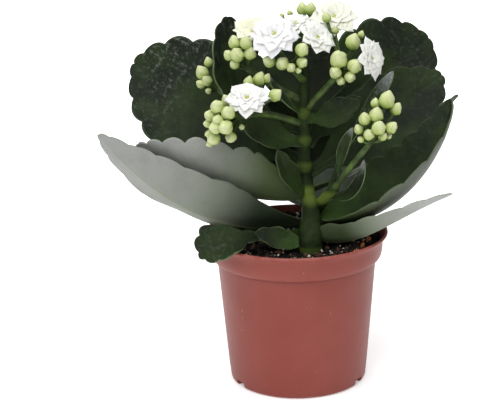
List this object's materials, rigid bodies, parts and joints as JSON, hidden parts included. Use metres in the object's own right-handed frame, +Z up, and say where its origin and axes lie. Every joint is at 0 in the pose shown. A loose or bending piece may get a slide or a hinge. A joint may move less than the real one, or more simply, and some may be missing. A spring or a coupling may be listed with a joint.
{
  "type": "potted kalanchoe plant",
  "caption": "Potted succulent with large scalloped dark green leaves, double white flowers and clustered buds in a plain round plastic nursery pot.",
  "frame": {"origin": "middle of the pot's underside, on the surface it stands on", "axes": "+Z up along the pot's axis, +X to the right of the plant's front, -Y towards its front"},
  "size_m": [0.2051, 0.1456, 0.2195],
  "materials": {
    "pot_plastic": "satin moulded plastic, brownish terracotta",
    "soil_mix": "loose dark potting mix",
    "stem_green": "smooth fleshy stem",
    "leaf_green": "waxy fleshy leaf",
    "bud_green": "smooth fleshy bud",
    "petal_white": "soft matte petal"
  },
  "bodies": {
    "root": {"pot": "pot_plastic", "soil": "soil_mix", "stem": "stem_green", "leaf_upper_left": "leaf_green", "leaf_upright": "leaf_green", "leaf_low_left": "leaf_green", "leaf_left": "leaf_green", "leaf_over_rim": "leaf_green", "leaf_low_right": "leaf_green", "leaf_right": "leaf_green", "leaf_upper_right": "leaf_green", "leaf_mid_right": "leaf_green", "leaf_edge_right": "leaf_green", "leaf_small_right": "leaf_green", "leaf_back_left": "leaf_green", "leaf_back_right": "leaf_green", "leaf_back_top": "leaf_green", "leaf_back_mid": "leaf_green", "leaf_stem_left": "leaf_green", "leaf_stem_right": "leaf_green", "leaf_front_base": "leaf_green", "leaf_shoot_left": "leaf_green", "bract_left": "leaf_green", "bract_long": "leaf_green", "bract_low": "leaf_green", "bract_mid": "leaf_green", "spray_low_left": "bud_green", "spray_back_left": "bud_green", "spray_upper_left": "bud_green", "spray_centre": "bud_green", "spray_top": "bud_green", "spray_upper_right": "bud_green", "spray_low_right": "bud_green", "bloom_front_left": "petal_white", "bloom_upper_left": "petal_white", "bloom_centre": "petal_white", "bloom_back": "petal_white", "bloom_top": "petal_white", "bloom_top_right": "petal_white", "bloom_right": "petal_white"}
  },
  "joints": []
}
